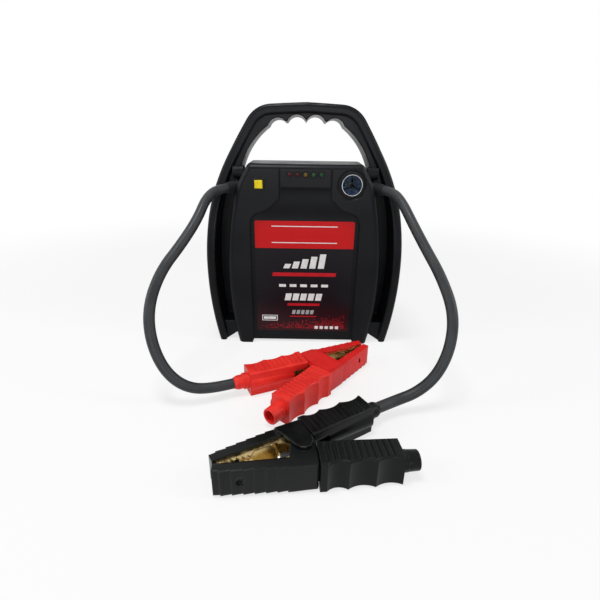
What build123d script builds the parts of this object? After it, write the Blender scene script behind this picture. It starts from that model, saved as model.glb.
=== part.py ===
"""Jump starter pack: a two-shell case with carrying handle, battery and two clamp leads.

Units are millimetres. X runs across the case, +Y to its back, +Z up. The origin is on
the floor, under the middle of the case, in the plane where the two shells meet.
"""
import os
from math import cos, pi, radians, sin, tan

from build123d import *

os.makedirs("parts", exist_ok=True)

# ---------------------------------------------------------------- driving dimensions
# case body, measured on the plane where the shells meet
case_depth = 120
case_draft = 3  # degrees, towards the front and the back
wall = 3
foot_half = 101
belly_half = 112.5
belly_z = 115
shoulder_half = 94
shoulder_z = 236
roof_half = 78
roof_z = 264
foot_lift = 4
edge_round = 8

# wings and handle: one band runs from wing tip over the handle to the other wing tip
wing_foot_half = 129
wing_half = 141
wing_z = 125
leg_half = 135.5
leg_z = 187
knee_half = 104
knee_z = 277
handle_half = 48
handle_z = 337
wing_thick = 13
wing_tip_thick = 10
band_round = 5
band_round_in = 3
wing_depth = 108
handle_depth = 48
core_depth = 44
web_thick = 20
wing_web_bottom = 30
grip_pitch = 25.4
grip_depth = 8
grip_z = 314
window_foot_half = 90
window_foot_z = 256

# front face
cheek_half = 34.5
panel_half = 75.5
panel_recess = 5
label_half = 69.6
label_bottom = 19
label_top = 187
label_thick = 0.6
led_z = 248
led_pitch = 10.5
led_d = 5
button_x = -62
lamp_x = 62
control_z = 235.5
button_side = 10.4
button_travel = 1.8
button_proud = 2.4
bezel_side = 15.6
lamp_bore = 37
lens_d = 27

# cable outlets, on both sides of the front shell
cable_d = 12.5
outlet_x = 94
outlet_y = -35
outlet_z = 229
outlet_yaw = 45.5  # degrees from straight sideways towards the front
gland_d = 17.5
gland_proud = 6
horn_d = 19
horn_z = 249
horn_reach = 99

# battery
battery_w = 181
battery_d = 77
battery_h = 167
terminal_x = 64

# clamps
clamp_thick = 32
jaw_thick = 27
skin = 2.5
jaw_reach = 84
jaw_back = 4
handle_splay = 12.3
handle_start = 12
handle_length = 75
collar_length = 13
clamp_opening = 24
pin_d = 6
running_gap = 0.05
ear_gap = 0.3
arm_steel = 1.6
red_pivot = (18.3, -164.3)
red_heading = 38.2
black_pivot = (0.3, -305.6)
black_heading = 198.5

half_case = case_depth / 2
half_clamp = clamp_thick / 2
fit = 0.1


def save(piece, name):
    piece.part.label = name
    export_step(piece.part, f"parts/{name}.step")


# ---------------------------------------------------------------- outlines of the case
def body_outline():
    """Front view of the case body where the shells meet."""
    with BuildSketch(Plane.XZ) as outline:
        with BuildLine():
            Line((0, -20), (foot_half, -20))
            Line((foot_half, -20), (foot_half, 0))
            ThreePointArc((foot_half, 0), (belly_half, belly_z), (shoulder_half, shoulder_z))
            Line((shoulder_half, shoulder_z), (roof_half, roof_z))
            Line((roof_half, roof_z), (0, roof_z))
            Line((0, roof_z), (0, -20))
        make_face()
        mirror(about=Plane.YZ)
        fillet(outline.vertices().filter_by(lambda v: abs(v.Y - shoulder_z) < 1), 26)
        fillet(outline.vertices().group_by(Axis.Y)[-1], 8)
    return outline.sketch_local


def band_arcs():
    """Outer edge of wing, leg and handle, from the wing tip to the top middle."""
    side = ThreePointArc((wing_foot_half, 0), (wing_half, wing_z), (leg_half, leg_z))
    leg = TangentArc(side @ 1, (knee_half, knee_z), tangent=side % 1)
    slope = TangentArc(leg @ 1, (knee_half - 24, handle_z - 21), tangent=leg % 1)
    knee = TangentArc(slope @ 1, (handle_half, handle_z - 2.4), tangent=slope % 1)
    TangentArc(knee @ 1, (0, handle_z), tangent=knee % 1)


def band_outline():
    """Whole outer shape of wings and handle, filled in."""
    with BuildSketch(Plane.XZ) as outline:
        with BuildLine():
            band_arcs()
            Line((0, handle_z), (0, 0))
            Line((0, 0), (wing_foot_half, 0))
        make_face()
        mirror(about=Plane.YZ)
    return outline.sketch_local


def window_outline():
    """Hand opening under the handle, with the finger grooves."""
    with BuildSketch(Plane.XZ) as outline:
        with BuildLine():
            Line((0, 240), (window_foot_half + 2, 240))
            Line((window_foot_half + 2, 240), (window_foot_half, window_foot_z))
            ThreePointArc(
                (window_foot_half, window_foot_z), (76, 284), (2 * grip_pitch, grip_z - 5)
            )
            Line((2 * grip_pitch, grip_z - 5), (grip_pitch, grip_z))
            Line((grip_pitch, grip_z), (0, grip_z))
            Line((0, grip_z), (0, 240))
        make_face()
        groove_r = (grip_pitch**2 / 4 + grip_depth**2) / (2 * grip_depth)
        with Locations(
            (grip_pitch / 2, grip_z + grip_depth - groove_r),
            (grip_pitch * 1.5, grip_z + grip_depth - 4 - groove_r),
        ):
            Circle(groove_r)
        mirror(about=Plane.YZ)
    return outline.sketch_local


def side_profile(front_depth, top_depth):
    """Side view of half a band that is deep at the wings and shallow at the handle."""
    with BuildSketch(Plane.YZ) as profile:
        with BuildLine():
            Line((1, -1), (1 - front_depth, -1))
            Line((1 - front_depth, -1), (-front_depth, 130))
            Spline(
                (-front_depth, 130),
                (-(front_depth + top_depth) / 2, 225),
                (-top_depth, 305),
                tangents=((0, 1), (0, 1)),
            )
            Line((-top_depth, 305), (-top_depth, handle_z + 1))
            Line((-top_depth, handle_z + 1), (1, handle_z + 1))
            Line((1, handle_z + 1), (1, -1))
        make_face()
    return profile.sketch_local



body_face = body_outline()
band_face = band_outline()
window_face = window_outline()
wing_profile = side_profile(wing_depth / 2, handle_depth / 2)


# ---------------------------------------------------------------- blocks that both shells share
front_y = -half_case
panel_y = front_y + panel_recess
inner_y = -(half_case - wall - 4.5)  # inside of the front wall
cavity_floor = foot_lift + wall
split_screws = [(99.5, 60), (102, 140), (92, 200), (52, 321)]
screw_seat = 12
boss_d = 11


def front_edges(block, outside):
    """Long front edges of the band, along its outer or its inner face."""
    middle = -wing_thick / 2
    with BuildSketch(Plane.XZ) as core:
        add(band_face)
        offset(band_face, amount=middle, kind=Kind.INTERSECTION, mode=Mode.REPLACE)
    face = core.sketch.face()
    return block.edges().filter_by(
        lambda edge: edge.bounding_box().max.Y < -handle_depth / 2 + 0.5
        and edge.bounding_box().size.X + edge.bounding_box().size.Z > 8
        and edge.bounding_box().max.Z > 1
        and face.is_inside(Vector((edge @ 0.5).X, 0, (edge @ 0.5).Z)) != outside
    )


def wing_block():
    """Front half of wings, legs and handle, with the web between wing and body."""
    with BuildPart() as block:
        with BuildSketch(Plane.XZ):
            add(band_face)
            offset(band_face, amount=-wing_thick, kind=Kind.INTERSECTION, mode=Mode.SUBTRACT)
            Rectangle(2 * (wing_foot_half - wing_tip_thick), 60, mode=Mode.SUBTRACT)
        extrude(amount=wing_depth / 2)
        with BuildSketch(Plane.YZ):
            add(wing_profile)
        extrude(amount=2 * wing_half, both=True, mode=Mode.INTERSECT)
        fillet(front_edges(block, outside=True), band_round)
        fillet(front_edges(block, outside=False), band_round_in)
        with BuildSketch(Plane.XZ):
            add(band_face)
            add(window_face, mode=Mode.SUBTRACT)
            Rectangle(2 * wing_half, 2 * (shoulder_z - 14), mode=Mode.SUBTRACT)
        extrude(amount=core_depth / 2)
        with BuildSketch(Plane.XZ):
            add(band_face)
            Rectangle(2 * wing_half, 2 * wing_web_bottom, mode=Mode.SUBTRACT)
            with Locations((0, handle_z)):
                Rectangle(2 * wing_half, 2 * (handle_z - shoulder_z), mode=Mode.SUBTRACT)
        extrude(amount=web_thick / 2)
        with BuildSketch(Plane.XZ):
            with BuildLine():
                Polyline(
                    (wing_foot_half - wing_tip_thick, 0),
                    (wing_foot_half - wing_tip_thick + 4, wing_web_bottom),
                    (foot_half - 4, wing_web_bottom),
                    (foot_half - 4, 15),
                    close=True,
                )
            make_face()
            mirror(about=Plane.YZ)
        extrude(amount=wing_depth / 2 - 8)
    return block.part


def shell_block():
    """Front half of the whole case: wings and body, hollowed out, with ribs and bosses."""
    with BuildPart() as body:
        with BuildSketch(Plane.XZ):
            add(body_face)
        extrude(amount=half_case, taper=case_draft)
        fillet(body.faces().sort_by(Axis.Y)[0].outer_wire().edges(), edge_round)
        with BuildSketch(Plane.XZ):
            with Locations((0, -belly_half)):
                Rectangle(4 * belly_half, 2 * belly_half)
        extrude(amount=case_depth, mode=Mode.SUBTRACT)
    with BuildPart() as block:
        add(wing_block())
        add(body.part)
        with BuildSketch(Plane.XZ):
            Rectangle(2 * (panel_half + 1.5), 2 * foot_lift)
        extrude(amount=half_case + 1, mode=Mode.SUBTRACT)
        with BuildSketch(Plane.XZ):
            add(body_face)
            offset(amount=-wall, kind=Kind.INTERSECTION, mode=Mode.REPLACE)
            Rectangle(2 * belly_half, 2 * cavity_floor, mode=Mode.SUBTRACT)
        extrude(amount=-inner_y, taper=case_draft, mode=Mode.SUBTRACT)
        with BuildSketch(Plane.XZ):
            with Locations((0, cavity_floor + battery_h / 2)):
                Rectangle(battery_w + 1, battery_h)
        extrude(amount=-inner_y - 2, mode=Mode.SUBTRACT)
        # upright ribs that hold the battery off the wall
        rib = -inner_y - battery_d / 2 - fit
        for side in (-1, 1):
            with BuildSketch(Plane.XZ.offset(battery_d / 2 + fit)):
                with Locations((side * battery_w / 4, cavity_floor + battery_h / 2)):
                    Rectangle(3, battery_h)
            extrude(amount=rib + 0.2)
        with BuildSketch(Plane.XZ):
            with Locations(*split_screws[:3], *[(-x, z) for x, z in split_screws[:3]]):
                Circle(boss_d / 2)
        extrude(amount=-inner_y + 0.2)
    return block.part


shell = shell_block()
all_screws = split_screws + [(-x, z) for x, z in split_screws]
outlet_dir = Vector(cos(radians(outlet_yaw)), -sin(radians(outlet_yaw)), 0)


def outlet_plane(side, along):
    """Plane across a cable outlet, a distance along its axis from the case wall."""
    direction = Vector(side * outlet_dir.X, outlet_dir.Y, 0)
    origin = Vector(side * outlet_x, outlet_y, outlet_z) + direction * along
    return Plane(origin=origin, x_dir=(0, 0, 1), z_dir=direction)


# ---------------------------------------------------------------- front shell
recess_top = 232
boss_out = 3
with BuildPart() as front_shell:
    add(shell)
    # outlet bosses and the short horns above them
    for side in (-1, 1):
        with BuildSketch(outlet_plane(side, boss_out)):
            Circle(gland_d / 2 + 2.5)
        extrude(amount=-boss_out - 11)
        with BuildSketch(Plane.YZ.offset(side * 84)):
            with Locations((outlet_y, horn_z)):
                Circle(horn_d / 2)
        extrude(amount=side * (horn_reach - 84), taper=6)
    for side in (-1, 1):
        with BuildSketch(outlet_plane(side, boss_out + 1)):
            Circle(gland_d / 2 + fit)
        extrude(amount=-boss_out - 16, mode=Mode.SUBTRACT)
        with BuildSketch(outlet_plane(side, boss_out)):
            Circle(gland_d / 2 + 2)
        extrude(amount=12, mode=Mode.SUBTRACT)
    # recessed centre panel with an S-shaped edge that fades out towards the top
    with BuildPart(mode=Mode.SUBTRACT) as recess:
        with BuildSketch(Plane.XZ.offset(-panel_y)):
            with BuildLine():
                Line((0, -1), (panel_half, -1))
                Line((panel_half, -1), (panel_half, 178))
                Spline(
                    (panel_half, 178), (68, 196), (52, 202), (38, 214), (cheek_half, 232),
                    tangents=((0, 1), (0, 1)),
                )
                Line((cheek_half, 232), (0, 232))
                Line((0, 232), (0, -1))
            make_face()
            mirror(about=Plane.YZ)
        extrude(amount=panel_recess + 1)
        with BuildSketch(Plane.YZ):
            with BuildLine():
                Line((panel_y, -1), (panel_y, label_top + 3))
                Spline(
                    (panel_y, label_top + 3), (panel_y - panel_recess / 2, 210), (front_y, recess_top),
                    tangents=((0, 1), (-0.5, 1)),
                )
                Line((front_y, recess_top), (front_y - 2, recess_top))
                Line((front_y - 2, recess_top), (front_y - 2, -1))
                Line((front_y - 2, -1), (panel_y, -1))
            make_face()
        extrude(amount=2 * panel_half, both=True, mode=Mode.INTERSECT)
    # two seams between the centre panel and the cheeks
    with BuildSketch(Plane.XZ.offset(-front_y - 1)):
        with Locations((-cheek_half, 240), (cheek_half, 240)):
            Rectangle(1.2, 50)
    extrude(amount=2, mode=Mode.SUBTRACT)
    # openings for lamp, button and indicator lights
    with BuildSketch(Plane.XZ.offset(-inner_y - 1)):
        with Locations((lamp_x, control_z)):
            Circle(lamp_bore / 2)
        with Locations((button_x, control_z)):
            Rectangle(bezel_side - 2.4, bezel_side - 2.4)
        with Locations(*[((i - 2) * led_pitch, led_z) for i in range(5)]):
            Circle(led_d / 2 + 1.1)
    extrude(amount=half_case, mode=Mode.SUBTRACT)
    with BuildSketch(Plane.XZ.offset(-front_y)):
        with Locations((lamp_x, control_z)):
            Circle(lamp_bore / 2 + 1.2)
    extrude(amount=-1.2, taper=45, mode=Mode.SUBTRACT)
    # posts for the indicator board
    with BuildSketch(Plane.XZ.offset(-inner_y - 2.5)):
        with Locations((-2.8 * led_pitch, led_z), (2.8 * led_pitch, led_z)):
            Circle(2)
    extrude(amount=2.7)
    # screw holes
    with BuildSketch(Plane.XZ):
        with Locations(*all_screws):
            Circle(1.7)
    extrude(amount=14, mode=Mode.SUBTRACT)
save(front_shell, "front_shell")

# ---------------------------------------------------------------- rear shell
jack_d = 12
jack_z = 225
with BuildPart() as rear_shell:
    add(mirror(shell, about=Plane.XZ))
    with BuildSketch(Plane.XZ.offset(-screw_seat)):
        with Locations(*all_screws):
            Circle(4)
    extrude(amount=-half_case, mode=Mode.SUBTRACT)
    with BuildSketch(Plane.XZ):
        with Locations(*all_screws):
            Circle(1.8)
    extrude(amount=-screw_seat - 1, mode=Mode.SUBTRACT)
    with BuildSketch(Plane.XZ.offset(inner_y + 1)):
        with Locations((0, jack_z)):
            Circle(jack_d / 2)
    extrude(amount=-half_case, mode=Mode.SUBTRACT)
save(rear_shell, "rear_shell")

with BuildPart() as case_screws:
    with BuildSketch(Plane.XZ.offset(-screw_seat)):
        with Locations(*all_screws):
            Circle(3.5)
    extrude(amount=-2.6)
    with BuildSketch(Plane.XZ.offset(-screw_seat - 2.6)):
        with Locations(*all_screws):
            Rectangle(4.6, 0.9)
            Rectangle(0.9, 4.6)
    extrude(amount=1.4, mode=Mode.SUBTRACT)
    with BuildSketch(Plane.XZ.offset(-screw_seat)):
        with Locations(*all_screws):
            Circle(1.65)
    extrude(amount=screw_seat + 12)
save(case_screws, "case_screws")

with BuildPart() as charging_jack:
    with BuildSketch(Plane.XZ.offset(-half_case)):
        with Locations((0, jack_z)):
            Circle(jack_d / 2 + 2.5)
            Circle(3.2, mode=Mode.SUBTRACT)
    extrude(amount=-1.6)
    with BuildSketch(Plane.XZ.offset(-half_case)):
        with Locations((0, jack_z)):
            Circle(jack_d / 2 - fit)
            Circle(3.2, mode=Mode.SUBTRACT)
    extrude(amount=half_case + inner_y + 6)
    with BuildSketch(Plane.XZ.offset(inner_y + 6)):
        with Locations((0, jack_z)):
            Circle(jack_d / 2 - fit)
    extrude(amount=2)
    with BuildSketch(Plane.XZ.offset(inner_y + 6)):
        with Locations((0, jack_z)):
            Circle(1)
    extrude(amount=-12)
save(charging_jack, "charging_jack")

with BuildPart() as jack_nut:
    with BuildSketch(Plane.XZ.offset(inner_y)):
        with Locations((0, jack_z)):
            RegularPolygon(jack_d / 2 + 3, 6)
            Circle(jack_d / 2, mode=Mode.SUBTRACT)
    extrude(amount=3)
save(jack_nut, "jack_nut")

# ---------------------------------------------------------------- front furniture
with BuildPart() as label_plate:
    with BuildSketch(Plane.XZ.offset(-panel_y)) as plate_outline:
        with Locations((0, (label_bottom + label_top) / 2)):
            RectangleRounded(2 * label_half, label_top - label_bottom, 2.5)
    extrude(amount=label_thick)
save(label_plate, "label_plate")

led_spots = [((i - 2) * led_pitch, led_z) for i in range(5)]
with BuildPart() as led_bezels:
    with BuildSketch(Plane.XZ.offset(-front_y)):
        with Locations(*led_spots):
            Circle(led_d / 2 + 1.6)
            Circle(led_d / 2 + fit, mode=Mode.SUBTRACT)
    extrude(amount=0.7)
    with BuildSketch(Plane.XZ.offset(-inner_y)):
        with Locations(*led_spots):
            Circle(led_d / 2 + 1)
            Circle(led_d / 2 + fit, mode=Mode.SUBTRACT)
    extrude(amount=inner_y - front_y + 0.2)
save(led_bezels, "led_bezels")


def indicator_lights(numbers, name):
    """Domed lights with a flange behind the bezels."""
    with BuildPart() as lights:
        for spot in numbers:
            with BuildSketch(Plane.XZ.offset(-inner_y)):
                with Locations(led_spots[spot]):
                    Circle(led_d / 2)
            extrude(amount=inner_y - front_y + 0.4)
            with BuildSketch(Plane.XZ.offset(-inner_y - 2.5)):
                with Locations(led_spots[spot]):
                    Circle(led_d / 2 + 0.5)
            extrude(amount=2.5)
            with Locations((led_spots[spot][0], front_y - 0.4, led_z)):
                Sphere(led_d / 2 - 0.05)
    save(lights, name)


indicator_lights((0, 1), "leds_red")
indicator_lights((2,), "leds_amber")
indicator_lights((3, 4), "leds_green")

with BuildPart() as indicator_board:
    with BuildSketch(Plane.XZ.offset(-inner_y - 2.5)):
        with Locations((0, led_z)):
            Rectangle(6.4 * led_pitch, 14)
    extrude(amount=-1.6)
save(indicator_board, "indicator_board")

# push button: cap runs in the sleeve of its bezel, its collar stops behind the sleeve
sleeve_end = front_y + 10
collar_back = sleeve_end + 2
with BuildPart() as button_bezel:
    with BuildSketch(Plane.XZ.offset(-front_y)):
        with Locations((button_x, control_z)):
            RectangleRounded(bezel_side, bezel_side, 1.2)
    extrude(amount=1.2)
    with BuildSketch(Plane.XZ.offset(-sleeve_end)):
        with Locations((button_x, control_z)):
            Rectangle(bezel_side - 2.6, bezel_side - 2.6)
    extrude(amount=sleeve_end - front_y)
    with BuildSketch(Plane.XZ.offset(-sleeve_end)):
        with Locations((button_x, control_z)):
            Rectangle(button_side + 2 * fit, button_side + 2 * fit)
    extrude(amount=half_case, mode=Mode.SUBTRACT)
save(button_bezel, "button_bezel")

with BuildPart() as button_cap:
    with BuildSketch(Plane.XZ.offset(-collar_back)):
        with Locations((button_x, control_z)):
            Rectangle(button_side, button_side)
    extrude(amount=collar_back - front_y + 1.2 + button_proud)
    fillet(button_cap.faces().sort_by(Axis.Y)[0].edges(), 0.9)
    with BuildSketch(Plane.XZ.offset(-collar_back)):
        with Locations((button_x, control_z)):
            Rectangle(button_side + 1.8, button_side + 1.8)
    extrude(amount=collar_back - sleeve_end - running_gap)
save(button_cap, "button_cap")

with BuildPart() as switch_body:
    with BuildSketch(Plane.XZ.offset(-inner_y)):
        with Locations((button_x, control_z)):
            Rectangle(20, 20)
    extrude(amount=-(collar_back + button_travel - inner_y) - 8)
    with BuildSketch(Plane.XZ.offset(-inner_y)):
        with Locations((button_x, control_z)):
            Rectangle(bezel_side - 2.2, bezel_side - 2.2)
    extrude(amount=-(collar_back + button_travel - inner_y) - fit, mode=Mode.SUBTRACT)
    with BuildSketch(Plane.XZ.offset(-(collar_back + button_travel + 8))):
        with Locations((button_x - 4, control_z), (button_x + 4, control_z)):
            Rectangle(0.8, 4)
    extrude(amount=-5)
save(switch_body, "switch_body")


# lamp: every piece is turned about the lamp axis
def turned(points, name):
    """Piece turned about the lamp axis from (radius, distance behind the front) points."""
    with BuildPart() as piece:
        with BuildSketch(lamp_plane):
            with BuildLine():
                Polyline(*points, close=True)
            make_face()
        revolve(axis=lamp_axis)
    save(piece, name)


lamp_plane = Plane(origin=(lamp_x, front_y, control_z), x_dir=(1, 0, 0), z_dir=(0, 0, 1))
lamp_axis = Axis((lamp_x, front_y, control_z), (0, 1, 0))
lens_r = lens_d / 2
lamp_r = lamp_bore / 2 - fit
wall_depth = inner_y - front_y
ring_r = lens_r + 1.1
turned(
    [
        (lens_r + fit, 2.4), (ring_r, 2.4), (ring_r, 6), (lamp_r - 0.8, 6), (lamp_r - 0.8, 1.6),
        (lamp_r, 1.6), (lamp_r, wall_depth), (lamp_r + 2.4, wall_depth),
        (lamp_r + 2.4, wall_depth + 2), (lens_r + 2, wall_depth + 2), (lens_r + 2, 30),
        (0, 30), (0, 27), (lens_r - 1.2, 27), (lens_r - 1.2, 6.4), (lens_r + fit, 6.4),
    ],
    "lamp_housing",
)
turned(
    [
        (lens_r - 1.6, 1), (ring_r - 0.3, 1), (ring_r, 1.3), (ring_r, 2.4), (lens_r, 2.4),
        (lens_r, 2.6), (lens_r - 1.2, 2.6), (lens_r - 1.6, 2),
    ],
    "lamp_bezel",
)
turned(
    [(0, 2.6), (lens_r, 2.6), (lens_r, 4.6), (0, 4.6)],
    "lamp_lens",
)
turned(
    [
        (lens_r - 1.4, 5.4), (lens_r, 5.4), (lens_r, 6.4), (lens_r - 1.5, 6.4), (3.6, 25),
        (3.6, 26.8), (2.8, 26.8), (2.8, 24.6),
    ],
    "lamp_reflector",
)
with BuildPart() as lamp_spider:
    with BuildSketch(Plane.XZ.offset(-front_y - 5.4)):
        with Locations((lamp_x, control_z)):
            Circle(lens_r)
            Circle(lens_r - 1.2, mode=Mode.SUBTRACT)
            Circle(2.6)
            with PolarLocations(lens_r / 2, 3, 90):
                Rectangle(lens_r - 1, 1.6)
    extrude(amount=0.8)
save(lamp_spider, "lamp_spider")
with BuildPart() as lamp_led:
    with Locations((lamp_x, front_y + 27 - 1.6, control_z)):
        Box(3.4, 3.2, 3.4)
    with Locations((lamp_x, front_y + 27 - 3.2, control_z)):
        Sphere(1.5)
save(lamp_led, "lamp_led")

# ---------------------------------------------------------------- battery and inner leads
gland_in = 10
inner_run = 24
lug_bar = 3
post_h = 4
lead_bend = 20
battery_top = cavity_floor + battery_h
lug_face = battery_top + post_h + lug_bar + 15
drop = outlet_plane(1, -gland_in - inner_run).origin
terminal_y = drop.Y + 17
with BuildPart() as battery:
    with Locations((0, 0, cavity_floor + battery_h / 2)):
        Box(battery_w, battery_d, battery_h)
    fillet(battery.edges().filter_by(Axis.Z), 3)
    with BuildSketch(Plane.XY.offset(battery_top - 12)):
        RectangleRounded(battery_w, battery_d, 3)
        RectangleRounded(battery_w - 1.6, battery_d - 1.6, 2.2, mode=Mode.SUBTRACT)
    extrude(amount=1.2, mode=Mode.SUBTRACT)
save(battery, "battery")

posts = [(-drop.X, terminal_y), (drop.X, terminal_y)]
with BuildPart() as battery_terminals:
    with BuildSketch(Plane.XY.offset(battery_top)):
        with Locations(*posts):
            Rectangle(15, 15)
            Circle(3.1, mode=Mode.SUBTRACT)
    extrude(amount=post_h)
save(battery_terminals, "battery_terminals")

with BuildPart() as terminal_bolts:
    with BuildSketch(Plane.XY.offset(battery_top + post_h + lug_bar)):
        with Locations(*posts):
            RegularPolygon(5.8, 6)
    extrude(amount=4)
    with BuildSketch(Plane.XY.offset(battery_top + 0.3)):
        with Locations(*posts):
            Circle(3)
    extrude(amount=post_h + lug_bar)
save(terminal_bolts, "terminal_bolts")

for side, name in ((-1, "left"), (1, "right")):
    with BuildPart() as lug:
        with BuildSketch(Plane.XY.offset(battery_top + post_h)):
            with Locations((side * drop.X, terminal_y)):
                Circle(7.5)
            with Locations((side * drop.X, (terminal_y + drop.Y) / 2)):
                Rectangle(14, terminal_y - drop.Y)
            with Locations((side * drop.X, drop.Y)):
                Circle(7.5)
            with Locations((side * drop.X, terminal_y)):
                Circle(3.1, mode=Mode.SUBTRACT)
        extrude(amount=lug_bar)
        with BuildSketch(Plane.XY.offset(battery_top + post_h + lug_bar)):
            with Locations((side * drop.X, drop.Y)):
                Circle(7.5)
        extrude(amount=15)
    save(lug, f"{name}_lug")
    with BuildPart() as gland:
        with BuildSketch(outlet_plane(side, -gland_in)):
            Circle(gland_d / 2)
        extrude(amount=gland_in + boss_out)
        with BuildSketch(outlet_plane(side, boss_out)):
            Circle(gland_d / 2 + 1.6)
        extrude(amount=gland_proud - boss_out, taper=25)
    save(gland, f"{name}_gland")
    with BuildPart() as lead:
        with BuildLine():
            FilletPolyline(
                outlet_plane(side, -gland_in).origin,
                (side * drop.X, drop.Y, outlet_z),
                (side * drop.X, drop.Y, lug_face),
                radius=lead_bend,
            )
        with BuildSketch(outlet_plane(side, -gland_in)):
            Circle(cable_d / 2)
        sweep()
    save(lead, f"{name}_inner_lead")


# ---------------------------------------------------------------- clamps
# x runs from the pivot to the jaw tips, y outwards, z from the plane between the flanges
def jaw_plane(clamp, side):
    """Plane of one clamp half, origin in the pivot."""
    pivot, heading, up = clamp
    return Plane(
        origin=(pivot[0], pivot[1], half_clamp),
        x_dir=(cos(radians(heading)), sin(radians(heading)), 0),
        z_dir=(0, 0, side * up),
    )


def grip_plane(clamp, side):
    """Plane of one grip: x back along the grip, y outwards."""
    base = jaw_plane(clamp, side)
    splay = radians(handle_splay)
    back = base.y_dir * sin(splay) - base.x_dir * cos(splay)
    return Plane(origin=base.origin, x_dir=back, z_dir=base.z_dir * -1)


def on_grip(along, out):
    """Point of the grip plane, written in the jaw plane."""
    splay = radians(handle_splay)
    return (out * sin(splay) - along * cos(splay), along * sin(splay) + out * cos(splay))


clamps = {
    "red": (red_pivot, red_heading, -1),
    "black": (black_pivot, black_heading, 1),
}
jaw_tip_y = 9.5
jaw_root_y = 30
jaw_slope = (jaw_root_y - jaw_tip_y) / (jaw_reach + jaw_back)
jaw_wall = 3.5
cable_out = 16.7
grip_out = 31.3
rim_z = jaw_thick / 2 - skin
flange_z = {-1: rim_z - 0.4, 1: rim_z - 2.4}  # outer face of the flanges, cable and free half
screw_x = 61
ear_r = handle_start - 0.4


def wall_y(x):
    """Outer face of a jaw cover at a distance from the pivot."""
    return jaw_tip_y + (jaw_reach - x) * jaw_slope


def jaw_cover(clamp, side, name):
    """Plastic cover of one jaw: stepped outer wall, two rims and two ears over the pivot."""
    base = jaw_plane(clamp, side)
    steps = []
    for i in range(7):
        x = jaw_reach - 6 - i * 9.5
        steps += [(x, wall_y(x)), (x, wall_y(x) + 1.3)]
    edge = [(jaw_reach, jaw_tip_y), *steps, (-jaw_back, jaw_root_y)]
    wall_in = [(-jaw_back, jaw_root_y - jaw_wall), (jaw_reach - 3, wall_y(jaw_reach - 3) - jaw_wall)]
    tip_in = (jaw_reach - 2, 1.5)
    with BuildPart() as cover:
        with BuildSketch(base):
            with BuildLine():
                Polyline(*edge, *wall_in, (jaw_reach - 4.5, 2), tip_in, close=True)
            make_face()
        extrude(amount=jaw_thick / 2, both=True)
        # rim and ear on one side
        with BuildSketch(base.offset(rim_z)):
            with BuildLine():
                Polyline(
                    *edge, on_grip(11.4, 26), on_grip(11.4, 4), (-6, -6), (12, -3), (17.3, 13.7),
                    tip_in, close=True,
                )
            make_face()
            Circle(ear_r)
            Circle(pin_d / 2 + running_gap, mode=Mode.SUBTRACT)
        extrude(amount=skin)
        # rim on the other side, clear of the other half's ear
        with BuildSketch(base.offset(-rim_z)):
            with BuildLine():
                Polyline(*edge, on_grip(11.4, 26), on_grip(11.4, 16), (17.3, 14.5), tip_in, close=True)
            make_face()
            Circle(ear_r + 0.6, mode=Mode.SUBTRACT)
        extrude(amount=-skin)
        # outer ear, lying over the other half's ear
        with BuildSketch(base.offset(-half_clamp)) as ear:
            with BuildLine():
                if side < 0:
                    Polyline(
                        (21, 23.5), (8.5, -3), (5, -7.5), (0, -9.5), (-5, -8.5), (-9, -4),
                        (-9.9, 4), on_grip(11.2, 21), on_grip(11.2, 26), (16, 24.5),
                        close=True,
                    )
                else:
                    Polyline(
                        (21, 23.5), (16.5, -22), (12, -25.5), (-3, -27), (-6.4, -24), (-9.9, -4),
                        (-9.9, 4), on_grip(11.2, 21), on_grip(11.2, 26), (16, 24.5),
                        close=True,
                    )
            make_face()
        extrude(amount=half_clamp - jaw_thick / 2 - ear_gap)
        with BuildSketch(base.offset(-half_clamp)):
            with BuildLine():
                Polyline(
                    (21, 23.5), (19.5, 16), on_grip(11.2, 16), on_grip(11.2, 26), (16, 24.5),
                    close=True,
                )
            make_face()
        extrude(amount=half_clamp - rim_z)
        # recess and hole for the screw that holds the metal arm
        with BuildSketch(screw_plane(base, 0.5)):
            Circle(4)
        extrude(amount=-0.5 - jaw_wall + 1.3, mode=Mode.SUBTRACT)
        with BuildSketch(screw_plane(base, 0)):
            Circle(1.8)
        extrude(amount=-jaw_wall - 1, mode=Mode.SUBTRACT)
    save(cover, name)


def screw_plane(base, proud):
    """Plane on the outer wall of a jaw cover, square to the wall."""
    lean = Vector(jaw_slope, 1, 0).normalized()
    out = base.x_dir * lean.X + base.y_dir * lean.Y
    spot = base.origin + base.x_dir * screw_x + base.y_dir * wall_y(screw_x)
    return Plane(origin=spot + out * proud, x_dir=base.z_dir, z_dir=out)


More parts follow.
